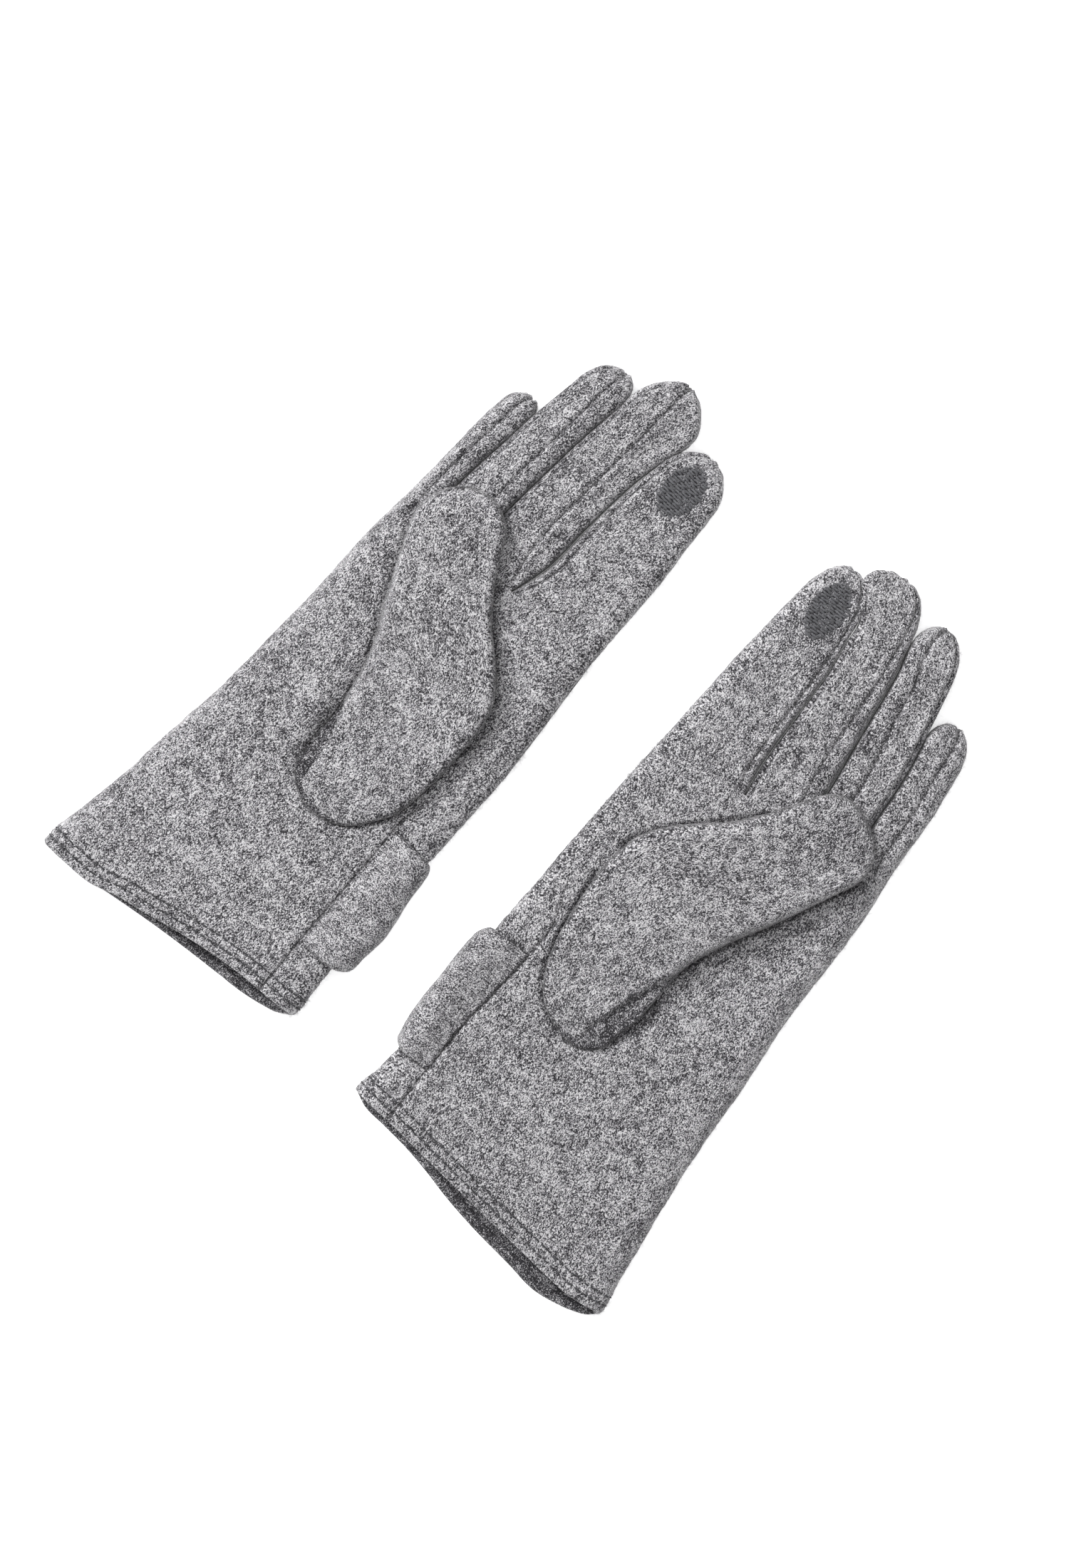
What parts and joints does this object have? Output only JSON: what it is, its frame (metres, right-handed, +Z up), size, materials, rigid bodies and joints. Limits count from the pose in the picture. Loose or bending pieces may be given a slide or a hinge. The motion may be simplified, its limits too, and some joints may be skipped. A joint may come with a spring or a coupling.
{
  "type": "touchscreen gloves",
  "caption": "Pair of wool gloves lying palm up with thumbs folded over: seamed fingers, touch pads on the index tips, wrist straps and open flared cuffs.",
  "frame": {"origin": "on the surface the gloves lie on, under the middle of the pair's outline", "axes": "+Z up from the backs of the gloves to the palms, +Y from the cuffs to the fingertips, +X from the right-hand glove to the left-hand glove"},
  "size_m": [0.2374, 0.2552, 0.0233],
  "materials": {
    "glove_cloth": "grey melange felted wool knit",
    "fourchette_cloth": "grey melange felted wool knit",
    "strap_cloth": "grey melange felted wool knit, doubled",
    "conductive_yarn": "dark grey conductive yarn, embroidered in rows"
  },
  "bodies": {
    "right_hand": {"right_palm_panel": "glove_cloth", "right_back_panel": "glove_cloth", "right_wrist_strap": "strap_cloth", "right_thumb_root": "glove_cloth"},
    "right_thumb": {"right_thumb_front": "glove_cloth", "right_thumb_back": "glove_cloth"},
    "right_little": {"right_little_front": "glove_cloth", "right_little_back": "glove_cloth", "right_little_fourchette_inner": "fourchette_cloth"},
    "right_ring": {"right_ring_front": "glove_cloth", "right_ring_back": "glove_cloth", "right_ring_fourchette_outer": "fourchette_cloth", "right_ring_fourchette_inner": "fourchette_cloth"},
    "right_middle": {"right_middle_front": "glove_cloth", "right_middle_back": "glove_cloth", "right_middle_fourchette_outer": "fourchette_cloth", "right_middle_fourchette_inner": "fourchette_cloth"},
    "right_index": {"right_index_front": "glove_cloth", "right_index_back": "glove_cloth", "right_index_fourchette_outer": "fourchette_cloth", "right_touch_patch": "conductive_yarn"},
    "left_hand": {"left_palm_panel": "glove_cloth", "left_back_panel": "glove_cloth", "left_wrist_strap": "strap_cloth", "left_thumb_root": "glove_cloth"},
    "left_thumb": {"left_thumb_front": "glove_cloth", "left_thumb_back": "glove_cloth"},
    "left_little": {"left_little_front": "glove_cloth", "left_little_back": "glove_cloth", "left_little_fourchette_inner": "fourchette_cloth"},
    "left_ring": {"left_ring_front": "glove_cloth", "left_ring_back": "glove_cloth", "left_ring_fourchette_outer": "fourchette_cloth", "left_ring_fourchette_inner": "fourchette_cloth"},
    "left_middle": {"left_middle_front": "glove_cloth", "left_middle_back": "glove_cloth", "left_middle_fourchette_outer": "fourchette_cloth", "left_middle_fourchette_inner": "fourchette_cloth"},
    "left_index": {"left_index_front": "glove_cloth", "left_index_back": "glove_cloth", "left_index_fourchette_outer": "fourchette_cloth", "left_touch_patch": "conductive_yarn"}
  },
  "joints": [
    {"name": "right_thumb_fold", "type": "hinge", "parent": "right_hand", "child": "right_thumb", "pos_m": [-0.05327, -0.00838, 0.0233], "axis": [0.9048, 0.4258, 0], "range_deg": [0, 75]},
    {"name": "right_little_bend", "type": "hinge", "parent": "right_hand", "child": "right_little", "pos_m": [-0.09402, 0.06172, 0.012], "axis": [0.9978, -0.0663, 0], "range_deg": [0, 85]},
    {"name": "right_ring_bend", "type": "hinge", "parent": "right_hand", "child": "right_ring", "pos_m": [-0.08025, 0.06081, 0.012], "axis": [0.9978, -0.0663, 0], "range_deg": [0, 85]},
    {"name": "right_middle_bend", "type": "hinge", "parent": "right_hand", "child": "right_middle", "pos_m": [-0.06069, 0.05951, 0.012], "axis": [0.9978, -0.0663, 0], "range_deg": [0, 85]},
    {"name": "right_index_bend", "type": "hinge", "parent": "right_hand", "child": "right_index", "pos_m": [-0.03415, 0.05774, 0.012], "axis": [0.9978, -0.0663, 0], "range_deg": [0, 85]},
    {"name": "left_thumb_fold", "type": "hinge", "parent": "left_hand", "child": "left_thumb", "pos_m": [0.04717, -0.01019, 0.0233], "axis": [0.8813, -0.4726, 0], "range_deg": [0, 75]},
    {"name": "left_little_bend", "type": "hinge", "parent": "left_hand", "child": "left_little", "pos_m": [0.09117, 0.05994, 0.012], "axis": [0.9978, 0.0663, 0], "range_deg": [0, 85]},
    {"name": "left_ring_bend", "type": "hinge", "parent": "left_hand", "child": "left_ring", "pos_m": [0.07466, 0.05884, 0.012], "axis": [0.9978, 0.0663, 0], "range_deg": [0, 85]},
    {"name": "left_middle_bend", "type": "hinge", "parent": "left_hand", "child": "left_middle", "pos_m": [0.0546, 0.05751, 0.012], "axis": [0.9978, 0.0663, 0], "range_deg": [0, 85]},
    {"name": "left_index_bend", "type": "hinge", "parent": "left_hand", "child": "left_index", "pos_m": [0.02861, 0.05578, 0.012], "axis": [0.9978, 0.0663, 0], "range_deg": [0, 85]},
    {"name": "left_glove_lift", "type": "slide", "parent": "right_hand", "child": "left_hand", "axis": [0, 0, 1], "range_m": [0, 0.12]}
  ]
}
